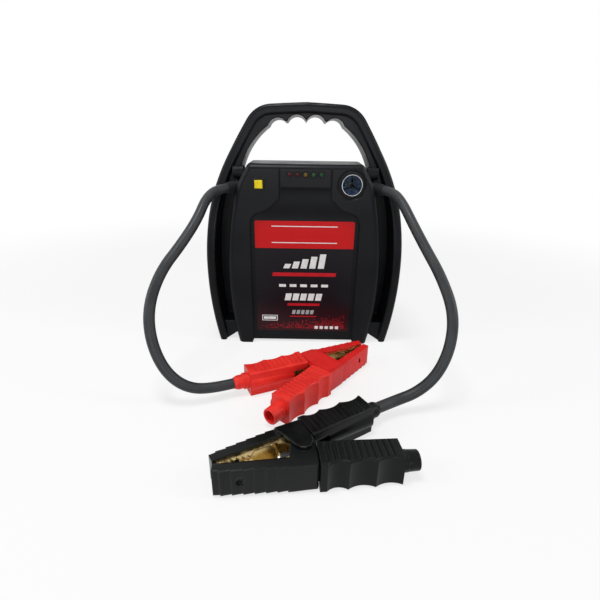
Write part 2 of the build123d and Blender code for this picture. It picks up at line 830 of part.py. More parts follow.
def metal_arm(clamp, side, name):
    """Folded metal arm: two toothed flanges, ears on the pin and a tail inside the grip."""
    base = jaw_plane(clamp, side)
    tip = jaw_reach - 5.5
    drop_in = jaw_wall + 0.35
    teeth = []
    for i in range(6):
        teeth += [(tip - 5 * i, 0.4), (tip - 5 * i - 2.5, 2.4)]
    teeth.append((tip - 30, 0.4))
    outer = [on_grip(62, 23.7), on_grip(4, 23.7), (tip, wall_y(tip) - drop_in * 1.03)]
    inner = [(tip - 34, 6), (22, 9.5), (9, 5), (-8.6, 3), on_grip(12, 9.7), on_grip(62, 9.7)]
    web = [
        on_grip(62, 23.7 - arm_steel), on_grip(4, 23.7 - arm_steel), (tip, outer[2][1] - arm_steel)
    ]
    high = flange_z[side]
    with BuildPart() as arm:
        with BuildSketch(base):
            with BuildLine():
                Polyline(*outer, *web[::-1], close=True)
            make_face()
        extrude(amount=high, both=True)
        for level in (high, arm_steel - high):
            with BuildSketch(base.offset(level)):
                with BuildLine():
                    Polyline(*teeth, *inner, *outer, close=True)
                make_face()
                Circle(9)
                Circle(pin_d / 2 + running_gap, mode=Mode.SUBTRACT)
            extrude(amount=-arm_steel)
        with BuildSketch(screw_plane(base, 0)):
            Circle(1.8)
        extrude(amount=-12, mode=Mode.SUBTRACT)
    save(arm, name)


def grip(clamp, side, name):
    """Rubber grip: scalloped back, cross grooves, round inner ridge and a collar."""
    base = grip_plane(clamp, side)
    end = handle_start + handle_length
    third = handle_length / 3
    collar = Plane(origin=base.origin + base.x_dir * end, x_dir=base.z_dir * -1, z_dir=base.x_dir)
    with BuildPart() as piece:
        with BuildSketch(base):
            with BuildLine():
                Line((handle_start, 1.1), (handle_start, grip_out))
                for i in range(3):
                    start = (handle_start + third * i, grip_out - 0.5 * i)
                    stop = (handle_start + third * (i + 1), grip_out - 0.5 * (i + 1))
                    low = ((start[0] + stop[0]) / 2, grip_out - 3.6 - 0.5 * i)
                    ThreePointArc(start, low, stop) if i else Line(start, start_low := (start[0] + 6, start[1]))
                    if not i:
                        ThreePointArc(start_low, (low[0] + 3, low[1]), stop)
                Line((end, grip_out - 1.5), (end, 3.8))
                Line((end, 3.8), (handle_start, 1.1))
            make_face()
        extrude(amount=half_clamp, both=True)
        chamfer(
            piece.faces().filter_by(Axis.Z).edges().filter_by(
                lambda edge: abs(base.to_local_coords(edge).center().X - end) > 0.5
                and abs(base.to_local_coords(edge).center().X - handle_start) > 0.5
            ),
            1.6,
        )
        # cross grooves on both flat faces
        for face in (-1, 1):
            with BuildSketch(base.offset(face * (half_clamp + 0.1))):
                with Locations(*[(handle_start + 7 + 5.9 * i, 15.5) for i in range(11)]):
                    Rectangle(2, 21)
            extrude(amount=-face * 1.1, mode=Mode.SUBTRACT)
        # round inner ridge, and the collar where the cable goes in
        with BuildSketch(collar.offset(-1)):
            with Locations((0, 11.6)):
                Circle(11)
        extrude(amount=2 - handle_length)
        with BuildSketch(collar.offset(-0.2)):
            with Locations((0, cable_out)):
                Circle(10)
        extrude(amount=collar_length * 0.45 + 0.2)
        with BuildSketch(collar.offset(collar_length * 0.45)):
            with Locations((0, cable_out)):
                Circle(8.6)
        extrude(amount=collar_length * 0.55)
        if side > 0:
            with BuildSketch(collar.offset(collar_length)):
                with Locations((0, cable_out)):
                    Circle(6.3)
            extrude(amount=-8, mode=Mode.SUBTRACT)
        # pocket for the tail of the metal arm
        high = flange_z[side] + fit
        with BuildSketch(base):
            with Locations(((handle_start + 62.3) / 2, 16.7)):
                Rectangle(62.3 - handle_start + 0.2, 14.2)
        extrude(amount=high, both=True, mode=Mode.SUBTRACT)
        # slot for the spring leg
        with BuildSketch(base):
            with Locations((handle_start + 9, 5)):
                Rectangle(20, 11)
        extrude(amount=6.4, both=True, mode=Mode.SUBTRACT)
    save(piece, name)


wire_d = 2.2
coil_r = 4.6
coil_turns = 3.733
coil_pitch = 2.5
leg_angle = 138
leg_length = 22
with BuildPart() as spring_shape:
    with BuildLine() as coil:
        Helix(pitch=coil_pitch, height=coil_turns * coil_pitch, radius=coil_r)
    with BuildSketch(Plane(origin=coil.line @ 0, z_dir=coil.line % 0)):
        RegularPolygon(wire_d / 2, 8)
    sweep(is_frenet=True)
    for at, way in ((0, -1), (1, 1)):
        run = coil.line % at
        with BuildSketch(Plane(origin=coil.line @ at, z_dir=Vector(run.X, run.Y, 0) * way)):
            Circle(wire_d / 2)
        extrude(amount=leg_length)
for colour, clamp in clamps.items():
    for side, half in ((-1, "cable"), (1, "free")):
        jaw_cover(clamp, side, f"{colour}_{half}_cover")
        metal_arm(clamp, side, f"{colour}_{half}_arm")
        grip(clamp, side, f"{colour}_{half}_grip")
        base = jaw_plane(clamp, side)
        with BuildPart() as cover_screw:
            with BuildSketch(screw_plane(base, -jaw_wall + 1.3)):
                Circle(3.6)
            extrude(amount=1.7)
            with BuildSketch(screw_plane(base, 3 - jaw_wall)):
                Rectangle(4.6, 0.9)
                Rectangle(0.9, 4.6)
            extrude(amount=-1, mode=Mode.SUBTRACT)
            with BuildSketch(screw_plane(base, -jaw_wall + 1.3)):
                Circle(1.7)
            extrude(amount=-5)
        save(cover_screw, f"{colour}_{half}_screw")
    base = jaw_plane(clamp, 1)
    with BuildPart() as pivot_pin:
        with BuildSketch(base.offset(-jaw_thick / 2 + 0.2)):
            Circle(pin_d / 2)
        extrude(amount=jaw_thick - 0.4)
    save(pivot_pin, f"{colour}_pivot_pin")
    # torsion spring: coil on the pin, one leg into each grip
    level = jaw_plane(clamp, clamp[2])
    start_angle = radians(leg_angle + 90)
    coil_low = Plane(
        origin=level.origin - Vector(0, 0, coil_turns * coil_pitch / 2),
        x_dir=level.x_dir * cos(start_angle) + level.y_dir * sin(start_angle),
        z_dir=(0, 0, 1),
    )
    with BuildPart() as spring:
        add(spring_shape.part.moved(coil_low.location))
    save(spring, f"{colour}_spring")


# ---------------------------------------------------------------- cables
def bend_radii(route):
    """Largest comfortable bend at every corner of a route."""
    spots = [Vector(*spot) for spot in route]
    radii = []
    for before, here, after in zip(spots, spots[1:], spots[2:]):
        turn = radians((here - before).get_angle(after - here))
        radii.append(0.45 * min((here - before).length, (after - here).length) / tan(turn / 2))
    return radii


def cable(route, name):
    """Round cable along straight runs joined by tangent bends."""
    radii = bend_radii(route)
    with BuildPart() as tube:
        with BuildLine() as path:
            FilletPolyline(*route, radius=radii)
        with BuildSketch(Plane(origin=path.line @ 0, z_dir=path.line % 0)):
            Circle(cable_d / 2)
        sweep()
    save(tube, name)
    length = sum(edge.length for edge in path.edges())
    section = pi * cable_d**2 / 4
    print(name, "length", round(length, 1), "radii", [round(radius) for radius in radii])
    print(name, "volume over section x length", round(tube.part.volume / section / length, 4))


def cable_end(clamp, back):
    """Point on the cable axis, a distance behind the collar of the cable-side grip."""
    along = handle_start + handle_length + collar_length + back
    return tuple(grip_plane(clamp, -1).from_local_coords(Vector(along, cable_out, 0)))


def outlet(side, along):
    """Point on the axis of a cable outlet."""
    return tuple(outlet_plane(side, gland_proud + along).origin)


# points of the cable routes: out of the case, forward and down, then along the floor
cable(
    [
        outlet(-1, 0),
        outlet(-1, 26.5),
        (-127, -84, 219),
        (-133, -110, 197),
        (-147, -138, 172),
        (-165, -166, 147),
        (-174.5, -190, 114),
        (-171, -206, 80),
        (-157, -215, 46),
        (-135, -216, 24),
        cable_end(clamps["red"], 33),
        cable_end(clamps["red"], 0),
    ],
    "red_cable",
)
cable(
    [
        outlet(1, 0),
        outlet(1, 25.5),
        (125, -81, 217),
        (134, -106, 195),
        (146, -130, 170),
        (160, -157, 143),
        (170, -185, 110),
        (166, -203, 76),
        (152, -214, 45),
        (130, -220, 25),
        cable_end(clamps["black"], 30),
        cable_end(clamps["black"], 0),
    ],
    "black_cable",
)
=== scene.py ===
from math import cos, pi, radians, sin

import bmesh
import bpy
from mathutils import Matrix, Vector


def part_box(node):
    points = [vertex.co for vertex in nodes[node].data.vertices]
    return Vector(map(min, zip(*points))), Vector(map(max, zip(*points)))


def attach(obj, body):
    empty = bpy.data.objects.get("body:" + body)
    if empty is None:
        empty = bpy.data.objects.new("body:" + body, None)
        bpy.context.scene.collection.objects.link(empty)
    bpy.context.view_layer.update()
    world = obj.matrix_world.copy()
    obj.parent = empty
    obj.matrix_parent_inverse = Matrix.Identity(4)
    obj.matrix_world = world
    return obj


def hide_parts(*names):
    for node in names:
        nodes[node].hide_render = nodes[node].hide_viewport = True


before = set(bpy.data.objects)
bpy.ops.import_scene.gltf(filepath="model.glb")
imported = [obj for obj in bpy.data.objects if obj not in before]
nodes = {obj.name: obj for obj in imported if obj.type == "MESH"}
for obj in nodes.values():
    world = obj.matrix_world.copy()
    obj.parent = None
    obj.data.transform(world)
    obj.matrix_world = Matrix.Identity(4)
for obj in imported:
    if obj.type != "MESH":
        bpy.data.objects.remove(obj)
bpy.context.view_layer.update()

pack_body = "pack"

# ---------------------------------------------------------------- studio
# A white floor that fades into a white background, soft light from above, the front and both
# sides, and the camera level with the lights of the case, tilted down towards the clamps.
floor_side, floor_front, floor_back = 6, -3, 6
shadow_reach, white_reach = 0.35, 1.3  # from the middle: shadows in full, and pure white
floor_mesh = bpy.data.meshes.new("studio_floor")
floor_mesh.from_pydata(
    [
        (-floor_side, floor_front, 0), (floor_side, floor_front, 0),
        (floor_side, floor_back, 0), (-floor_side, floor_back, 0),
    ],
    [], [(0, 1, 2, 3)],
)
studio_floor = bpy.data.objects.new("studio_floor", floor_mesh)
bpy.context.scene.collection.objects.link(studio_floor)
floor_paint = bpy.data.materials.new("floor_paint")
floor_paint.use_nodes = True
paint = floor_paint.node_tree.nodes["Principled BSDF"]
paint.inputs["Base Color"].default_value = (0.93, 0.93, 0.93, 1)
paint.inputs["Roughness"].default_value = 0.9
paint.inputs["Specular IOR Level"].default_value = 0.1


def seen_directly(kit, wire):
    """1 for rays from the camera, off a mirror or through glass, and 0 for the rest."""
    rays = kit.new("ShaderNodeLightPath")
    first = kit.new("ShaderNodeMath")
    first.operation = "ADD"
    wire.new(rays.outputs["Is Camera Ray"], first.inputs[0])
    wire.new(rays.outputs["Is Glossy Ray"], first.inputs[1])
    total = kit.new("ShaderNodeMath")
    total.operation = "ADD"
    total.use_clamp = True
    wire.new(first.outputs[0], total.inputs[0])
    wire.new(rays.outputs["Is Transmission Ray"], total.inputs[1])
    return total.outputs[0]


floor_kit, floor_wire = floor_paint.node_tree.nodes, floor_paint.node_tree.links
white_glow = floor_kit.new("ShaderNodeEmission")
white_glow.inputs["Strength"].default_value = 1.0
floor_mix = floor_kit.new("ShaderNodeMixShader")
floor_place = floor_kit.new("ShaderNodeTexCoord")
floor_reach = floor_kit.new("ShaderNodeVectorMath")
floor_reach.operation = "LENGTH"
floor_wire.new(floor_place.outputs["Object"], floor_reach.inputs[0])
floor_fade = floor_kit.new("ShaderNodeMapRange")
floor_fade.interpolation_type = "SMOOTHSTEP"
floor_fade.inputs["From Min"].default_value = shadow_reach
floor_fade.inputs["From Max"].default_value = white_reach
floor_fade.inputs["To Min"].default_value = 0.72
floor_fade.inputs["To Max"].default_value = 1.0
floor_wire.new(floor_reach.outputs["Value"], floor_fade.inputs["Value"])
floor_part = floor_kit.new("ShaderNodeMath")
floor_part.operation = "MULTIPLY"
floor_wire.new(seen_directly(floor_kit, floor_wire), floor_part.inputs[0])
floor_wire.new(floor_fade.outputs["Result"], floor_part.inputs[1])
floor_wire.new(floor_part.outputs[0], floor_mix.inputs["Fac"])
floor_wire.new(paint.outputs["BSDF"], floor_mix.inputs[1])
floor_wire.new(white_glow.outputs["Emission"], floor_mix.inputs[2])
floor_wire.new(floor_mix.outputs["Shader"], floor_kit["Material Output"].inputs["Surface"])
floor_mesh.materials.append(floor_paint)

world = bpy.data.worlds.new("studio_world")
bpy.context.scene.world = world
world.use_nodes = True
world_nodes = world.node_tree.nodes
world_links = world.node_tree.links
room_light = world_nodes["Background"]
room_light.inputs["Color"].default_value = (1, 1, 1, 1)
room_light.inputs["Strength"].default_value = 0.3
seen_light = world_nodes.new("ShaderNodeBackground")
seen_light.inputs["Color"].default_value = (1, 1, 1, 1)
seen_light.inputs["Strength"].default_value = 1.0
choose = world_nodes.new("ShaderNodeMixShader")
world_links.new(seen_directly(world_nodes, world_links), choose.inputs["Fac"])
world_links.new(room_light.outputs["Background"], choose.inputs[1])
world_links.new(seen_light.outputs["Background"], choose.inputs[2])
world_links.new(choose.outputs["Shader"], world_nodes["World Output"].inputs["Surface"])


def soft_box(name, place, aim, size, watts):
    """Rectangular area light at a place, turned towards its aim."""
    lamp = bpy.data.lights.new(name, "AREA")
    lamp.shape = "RECTANGLE"
    lamp.size, lamp.size_y = size
    lamp.energy = watts
    holder = bpy.data.objects.new(name, lamp)
    bpy.context.scene.collection.objects.link(holder)
    away = Vector(place) - Vector(aim)
    turn = away.to_track_quat("Z", "Y").to_matrix().to_4x4()
    holder.matrix_world = Matrix.Translation(place) @ turn


soft_box("soft_box_top", (-0.2, -0.35, 1.5), (0, -0.1, 0.1), (0.5, 0.3), 10)
soft_box("soft_box_left", (-1.3, -0.5, 0.8), (0, -0.1, 0.15), (0.35, 0.8), 4.5)
soft_box("soft_box_right", (1.3, -0.4, 0.9), (0, -0.1, 0.15), (0.3, 0.8), 4.5)
soft_box("soft_box_front", (0, -1.75, 0.42), (0, -0.06, 0.25), (1.2, 0.3), 6)

camera_place = (-0.0039, -0.5767, 0.2773)
camera_yaw, camera_tilt, camera_roll = 0.002, 0.3788, 0.0148
camera_data = bpy.data.cameras.new("studio_camera")
camera_data.lens = 22.5
camera_data.sensor_width = 36
camera_data.clip_start = 0.01
studio_camera = bpy.data.objects.new("studio_camera", camera_data)
bpy.context.scene.collection.objects.link(studio_camera)
studio_camera.matrix_world = (
    Matrix.Translation(camera_place)
    @ Matrix.Rotation(camera_yaw, 4, "Z")
    @ Matrix.Rotation(pi / 2 - camera_tilt, 4, "X")
    @ Matrix.Rotation(camera_roll, 4, "Z")
)
bpy.context.scene.camera = studio_camera
bpy.context.scene.view_settings.view_transform = "Standard"

# ---------------------------------------------------------------- cables
# Two flexible 25 mm2 booster cables with a satin black rubber jacket, each moulded into a
# gland of the case at one end and crimped into the handle of its clamp at the other.
cable_d = 0.0125


def moulded_grain():
    """Shader group: fine moulded grain as a height, and slow patches of tone."""
    group = bpy.data.node_groups.new("moulded_grain", "ShaderNodeTree")
    face = group.interface
    face.new_socket("Grain Size", in_out="INPUT", socket_type="NodeSocketFloat")
    face.new_socket("Patch Size", in_out="INPUT", socket_type="NodeSocketFloat")
    face.new_socket("Height", in_out="OUTPUT", socket_type="NodeSocketFloat")
    face.new_socket("Patches", in_out="OUTPUT", socket_type="NodeSocketFloat")
    kit, wire = group.nodes, group.links
    start, end = kit.new("NodeGroupInput"), kit.new("NodeGroupOutput")
    place = kit.new("ShaderNodeTexCoord")
    pebbles = kit.new("ShaderNodeTexVoronoi")
    pebbles.feature = "SMOOTH_F1"
    per_grain = kit.new("ShaderNodeMath")
    per_grain.operation = "DIVIDE"
    per_grain.inputs[0].default_value = 1
    wire.new(start.outputs["Grain Size"], per_grain.inputs[1])
    wire.new(place.outputs["Object"], pebbles.inputs["Vector"])
    wire.new(per_grain.outputs[0], pebbles.inputs["Scale"])
    cloud = kit.new("ShaderNodeTexNoise")
    cloud.inputs["Detail"].default_value = 5
    per_patch = kit.new("ShaderNodeMath")
    per_patch.operation = "DIVIDE"
    per_patch.inputs[0].default_value = 1
    wire.new(start.outputs["Patch Size"], per_patch.inputs[1])
    wire.new(place.outputs["Object"], cloud.inputs["Vector"])
    wire.new(per_patch.outputs[0], cloud.inputs["Scale"])
    spread = kit.new("ShaderNodeMapRange")
    spread.inputs["From Min"].default_value = 0.35
    spread.inputs["From Max"].default_value = 0.65
    wire.new(cloud.outputs["Fac"], spread.inputs["Value"])
    wire.new(pebbles.outputs["Distance"], end.inputs["Height"])
    wire.new(spread.outputs["Result"], end.inputs["Patches"])
    return group


grain_group = moulded_grain()


def blank_material(name):
    """New material, with its nodes, its links and its Principled shader."""
    material = bpy.data.materials.new(name)
    material.use_nodes = True
    kit = material.node_tree.nodes
    return material, kit, material.node_tree.links, kit["Principled BSDF"]


def patchy_colour(kit, wire, shader, dark, light, grain, patch):
    """Grain pattern whose slow patches mix two tones into the base colour."""
    pattern = kit.new("ShaderNodeGroup")
    pattern.node_tree = grain_group
    pattern.inputs["Grain Size"].default_value = grain
    pattern.inputs["Patch Size"].default_value = patch
    tone = kit.new("ShaderNodeMix")
    tone.data_type = "RGBA"
    tone.inputs["A"].default_value = (*dark, 1)
    tone.inputs["B"].default_value = (*light, 1)
    wire.new(pattern.outputs["Patches"], tone.inputs["Factor"])
    wire.new(tone.outputs["Result"], shader.inputs["Base Color"])
    return pattern


def patchy_gloss(kit, wire, shader, pattern, gloss):
    """Roughness between two values, with the patches of the pattern."""
    sheen = kit.new("ShaderNodeMapRange")
    sheen.inputs["To Min"].default_value = gloss[0]
    sheen.inputs["To Max"].default_value = gloss[1]
    wire.new(pattern.outputs["Patches"], sheen.inputs["Value"])
    wire.new(sheen.outputs["Result"], shader.inputs["Roughness"])


def grain_bump(kit, wire, shader, pattern, strength, depth):
    """Relief from the fine grain of the pattern."""
    bump = kit.new("ShaderNodeBump")
    bump.inputs["Strength"].default_value = strength
    bump.inputs["Distance"].default_value = depth
    wire.new(pattern.outputs["Height"], bump.inputs["Height"])
    wire.new(bump.outputs["Normal"], shader.inputs["Normal"])
    return bump


def moulded_material(name, light, dark, gloss, grain, patch, depth, soft=0.0008, shine=0.15):
    """Moulded plastic or rubber: two tones in patches, uneven gloss, grain and soft edges."""
    material, kit, wire, shader = blank_material(name)
    shader.inputs["Specular IOR Level"].default_value = shine
    pattern = patchy_colour(kit, wire, shader, dark, light, grain, patch)
    patchy_gloss(kit, wire, shader, pattern, gloss)
    rounded = kit.new("ShaderNodeBevel")
    rounded.samples = 6
    rounded.inputs["Radius"].default_value = soft
    bump = grain_bump(kit, wire, shader, pattern, 0.5, depth)
    wire.new(rounded.outputs["Normal"], bump.inputs["Normal"])
    return material


def dress(material, *names):
    """Gives CAD nodes a material in place of their plain one."""
    for name in names:
        mesh = nodes[name].data
        mesh.materials.clear()
        mesh.materials.append(material)


cable_jacket = moulded_material(
    "cable_jacket", (0.034, 0.036, 0.038), (0.022, 0.024, 0.026), (0.36, 0.5), 0.0009, 0.02, 0.0001,
    shine=0.25,
)


def lay_cable(name, node, route):
    """Smooth cable along its route, in place of a node."""
    line = bpy.data.curves.new(name, "CURVE")
    line.dimensions = "3D"
    line.resolution_u = 16
    line.bevel_depth = cable_d / 2
    line.bevel_resolution = 8
    line.use_fill_caps = True
    spline = line.splines.new("NURBS")
    spline.points.add(len(route) - 1)
    for point, spot in zip(spline.points, route):
        point.co = (*spot, 1)
    spline.order_u = 3
    spline.use_endpoint_u = True
    line.materials.append(cable_jacket)
    cable = bpy.data.objects.new(name, line)
    bpy.context.scene.collection.objects.link(cable)
    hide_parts(node)
    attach(cable, pack_body)
    parts = ["cable_grip", "cable_cover", "cable_arm", "cable_screw", "free_grip", "free_cover"]
    parts += ["free_arm", "free_screw", "pivot_pin", "spring"]


lay_cable(
    "red_lead_cable",
    "red_cable",
    [
        (-0.098206, -0.039279, 0.229), (-0.116780, -0.058180, 0.229), (-0.127, -0.084, 0.219),
        (-0.133, -0.110, 0.197), (-0.147, -0.138, 0.172), (-0.165, -0.166, 0.147),
        (-0.1745, -0.190, 0.114), (-0.171, -0.206, 0.080), (-0.157, -0.215, 0.046),
        (-0.135, -0.216, 0.024), (-0.10856, -0.20740, 0.016), (-0.07887, -0.19299, 0.016),
    ],
)
lay_cable(
    "black_lead_cable",
    "black_cable",
    [
        (0.098206, -0.039279, 0.229), (0.116079, -0.057467, 0.229), (0.125, -0.081, 0.217),
        (0.134, -0.106, 0.195), (0.146, -0.130, 0.170), (0.160, -0.157, 0.143),
        (0.170, -0.185, 0.110), (0.166, -0.203, 0.076), (0.152, -0.214, 0.045),
        (0.130, -0.220, 0.025), (0.10336, -0.22463, 0.016), (0.07760, -0.24001, 0.016),
    ],
)

# ---------------------------------------------------------------- case shells
# Two injection-moulded shells in black ABS with a fine spark-eroded grain. The front one
# carries lamp, button, lights and label; eight screws from the back hold them together.
case_plastic = moulded_material(
    "case_plastic", (0.0052, 0.0058, 0.0072), (0.0034, 0.0038, 0.0050), (0.28, 0.4), 0.0007, 0.05,
    0.00005, soft=0.0028, shine=0.13,
)
dress(case_plastic, "front_shell", "rear_shell")


def metal_material(name, colour, dark, rough, brush):
    """Bare or plated metal with a fine grain, uneven gloss and slightly uneven colour."""
    material, kit, wire, shader = blank_material(name)
    shader.inputs["Metallic"].default_value = 1
    pattern = patchy_colour(kit, wire, shader, dark, colour, brush, 0.006)
    patchy_gloss(kit, wire, shader, pattern, rough)
    grain_bump(kit, wire, shader, pattern, 0.25, 0.00003)
    return material


zinc_steel = metal_material(
    "zinc_steel", (0.62, 0.63, 0.65), (0.42, 0.43, 0.45), (0.28, 0.42), 0.0008
)
dress(zinc_steel, "case_screws")

# ---------------------------------------------------------------- battery and inner wiring
# Sealed 12 V block in grey-black ABS with lead posts, crimped copper lugs and short leads.
battery_plastic = moulded_material(
    "battery_plastic", (0.11, 0.11, 0.12), (0.08, 0.08, 0.09), (0.45, 0.6), 0.0009, 0.04, 0.00006
)
dress(battery_plastic, "battery")
tinned_copper = metal_material(
    "tinned_copper", (0.72, 0.6, 0.42), (0.55, 0.42, 0.28), (0.3, 0.45), 0.0009
)
dress(tinned_copper, "battery_terminals", "left_lug", "right_lug")
dress(zinc_steel, "terminal_bolts", "jack_nut")
dress(cable_jacket, "left_inner_lead", "right_inner_lead")

# ---------------------------------------------------------------- cable outlets
# Rubber glands in the shoulders of the case, each with a short boot of four ribs that
# tapers along the cable.
gland_rubber = moulded_material(
    "gland_rubber", (0.016, 0.017, 0.018), (0.010, 0.011, 0.012), (0.5, 0.65), 0.0008, 0.02, 0.00006
)
dress(gland_rubber, "left_gland", "right_gland")


def finished(form, name, material, body):
    """Turns a filled bmesh into a piece that rides on a body, and returns its mesh."""
    bmesh.ops.recalc_face_normals(form, faces=form.faces)
    mesh = bpy.data.meshes.new(name)
    form.to_mesh(mesh)
    form.free()
    mesh.materials.append(material)
    piece = bpy.data.objects.new(name, mesh)
    bpy.context.scene.collection.objects.link(piece)
    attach(piece, body)
    return mesh


def lathe(name, frame_at, profile, material, body, hollow=False):
    """Piece turned about the X axis of a frame, from (distance along, radius) points."""
    steps = 48
    form = bmesh.new()
    rings = []
    for along, radius in profile:
        ring = []
        for i in range(steps):
            turn = 2 * pi * i / steps
            spot = Vector((along, radius * cos(turn), radius * sin(turn)))
            ring.append(form.verts.new(frame_at @ spot))
        rings.append(ring)
    loops = rings + rings[:1] if hollow else rings
    for near, far in zip(loops, loops[1:]):
        for i in range(steps):
            j = (i + 1) % steps
            form.faces.new((near[i], near[j], far[j], far[i]))
    if not hollow:
        form.faces.new(rings[0])
        form.faces.new(rings[-1][::-1])
    mesh = finished(form, name, material, body)
    mesh.shade_smooth()
    mesh.set_sharp_from_angle(angle=radians(35))


outlet_turn = radians(45.5)
outlet_x, outlet_y, outlet_z = 0.094, -0.035, 0.229
boot_root = 0.0059  # start of the boot, along the cable from the outlet
rib_count, rib_pitch = 4, 0.0026
for side, name in ((-1, "left_boot"), (1, "right_boot")):
    way = Vector((side * cos(outlet_turn), -sin(outlet_turn), 0))
    across = Vector((0, 0, 1)).cross(way)
    stand = Matrix((way, across, Vector((0, 0, 1)))).transposed().to_4x4()
    stand.translation = Vector((side * outlet_x, outlet_y, outlet_z)) + boot_root * way
    ribs = []
    for i in range(rib_count):
        rib = rib_pitch * i
        ribs += [
            (rib, 0.0089 - 0.00042 * i), (rib + 0.0017, 0.0088 - 0.00042 * i),
            (rib + 0.0018, 0.0081 - 0.00032 * i), (rib + 0.0025, 0.0080 - 0.00032 * i),
        ]
    lathe(
        name, stand, [(0, 0.0062), *ribs, (0.0125, 0.0070), (0.0127, 0.0062)],
        gland_rubber, pack_body,
    )

# ---------------------------------------------------------------- socket, switch and board
# Charging socket on the back, the body of the push switch and the board of the lights.
gloss_black = moulded_material(
    "gloss_black", (0.007, 0.007, 0.008), (0.004, 0.004, 0.005), (0.2, 0.3), 0.0012, 0.02, 0.00002
)
dress(gloss_black, "charging_jack", "switch_body")
board_green = moulded_material(
    "board_green", (0.03, 0.16, 0.07), (0.02, 0.11, 0.05), (0.3, 0.4), 0.0015, 0.01, 0.00003
)
dress(board_green, "indicator_board")

# ---------------------------------------------------------------- front label
# Printed polyester film on the sunken panel: red head band over a black field, with plain
# bars, blocks and rules, and small red squares scattered along its foot. No words on it.
label_low, label_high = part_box("label_plate")
label_front = label_low[1]
band_height = 0.0385
band_foot = label_high[2] - band_height
glow_height = 0.062  # of the dark red that rises from the foot
film_gloss, film_shine = 0.3, 0.15


def label_material():
    """Glossy film: red above the foot of the band, and black below that glows red at its foot."""
    material, kit, wire, shader = blank_material("label_film")
    shader.inputs["Roughness"].default_value = film_gloss
    shader.inputs["Specular IOR Level"].default_value = film_shine
    place = kit.new("ShaderNodeTexCoord")
    axes = kit.new("ShaderNodeSeparateXYZ")
    wire.new(place.outputs["Object"], axes.inputs["Vector"])
    above = kit.new("ShaderNodeMath")
    above.operation = "GREATER_THAN"
    above.inputs[1].default_value = band_foot
    wire.new(axes.outputs["Z"], above.inputs[0])
    glow = kit.new("ShaderNodeMapRange")
    glow.inputs["From Min"].default_value = label_low[2] + glow_height
    glow.inputs["From Max"].default_value = label_low[2]
    glow.interpolation_type = "SMOOTHSTEP"
    wire.new(axes.outputs["Z"], glow.inputs["Value"])
    smoke = kit.new("ShaderNodeTexNoise")
    smoke.inputs["Scale"].default_value = 18
    smoke.inputs["Detail"].default_value = 3
    wire.new(place.outputs["Object"], smoke.inputs["Vector"])
    veil = kit.new("ShaderNodeMath")
    veil.operation = "MULTIPLY"
    wire.new(glow.outputs["Result"], veil.inputs[0])
    wire.new(smoke.outputs["Fac"], veil.inputs[1])
    field = kit.new("ShaderNodeMix")
    field.data_type = "RGBA"
    field.inputs["A"].default_value = (0.006, 0.0048, 0.0075, 1)
    field.inputs["B"].default_value = (0.055, 0.004, 0.007, 1)
    wire.new(veil.outputs[0], field.inputs["Factor"])
    whole = kit.new("ShaderNodeMix")
    whole.data_type = "RGBA"
    whole.inputs["B"].default_value = (0.54, 0.006, 0.008, 1)
    wire.new(field.outputs["Result"], whole.inputs["A"])
    wire.new(above.outputs[0], whole.inputs["Factor"])
    wire.new(whole.outputs["Result"], shader.inputs["Base Color"])
    return material


dress(label_material(), "label_plate")


def ink_material(name, colour):
    """Printing ink as glossy as the film, very slightly uneven."""
    material, kit, wire, shader = blank_material(name)
    shader.inputs["Roughness"].default_value = film_gloss
    shader.inputs["Specular IOR Level"].default_value = film_shine
    patchy_colour(kit, wire, shader, [0.88 * c for c in colour], colour, 0.0004, 0.008)
    return material


white_ink = ink_material("white_ink", (0.8, 0.8, 0.8))
red_ink = ink_material("red_ink", (0.52, 0.012, 0.02))
grey_ink = ink_material("grey_ink", (0.4, 0.4, 0.41))
ink_front = label_front - 0.00008
ink_back = label_front - 0.00001


def printed(name, panels, ink):
    """Raised print on the label, from slanted panels (left, foot, width, height, slant)."""
    sheet = bmesh.new()
    for left, foot, wide, high, slant in panels:
        right, head = left + wide, foot + high
        corners = [(left, foot), (right, foot), (right + slant, head), (left + slant, head)]
        front = [sheet.verts.new((x, ink_front, z)) for x, z in corners]
        back = [sheet.verts.new((x, ink_back, z)) for x, z in corners]
        sheet.faces.new(front)
        for i in range(4):
            j = (i + 1) % 4
            sheet.faces.new((front[j], front[i], back[i], back[j]))
    finished(sheet, name, ink, pack_body)


def block_row(left, foot, step, wide, high, slant, rise=0.0):
    """Five slanted blocks in a row, each taller than the last by the rise."""
    return [(left + step * i, foot, wide, high + rise * i, slant) for i in range(5)]


# rows of five blocks, from rising bars at the top to small marks at the foot
rows = (
    ("printed_bars", (-0.030, 0.1190, 0.0125, 0.0088, 0.0066, 0.0030, 0.0037), white_ink),
    ("printed_ticks", (-0.036, 0.0905, 0.0155, 0.0100, 0.0042, 0), white_ink),
    ("printed_gauge", (-0.028, 0.0692, 0.0113, 0.0088, 0.0110, 0.0022), white_ink),
    ("printed_small_gauge", (-0.017, 0.0470, 0.0068, 0.0048, 0.0066, 0.0013), grey_ink),
    ("printed_marks", (0.018, 0.0225, 0.0078, 0.0050, 0.0048, 0), white_ink),
)
for name, row, ink in rows:
    printed(name, block_row(*row), ink)
printed(
    "printed_rules",
    [
        (-0.046, 0.1070, 0.092, 0.0056, 0.0012), (-0.024, 0.0606, 0.048, 0.0040, 0.0008),
        (-0.020, 0.0424, 0.040, 0.0016, 0),
    ],
    red_ink,
)
printed(
    "printed_box",
    [
        # foot, head, left and right side, and the block inside
        (-0.0620, 0.0357, 0.0235, 0.0010, 0), (-0.0620, 0.0439, 0.0235, 0.0010, 0),
        (-0.0620, 0.0367, 0.0010, 0.0072, 0), (-0.0395, 0.0367, 0.0010, 0.0072, 0),
        (-0.0595, 0.0382, 0.0185, 0.0042, 0),
    ],
    white_ink,
)
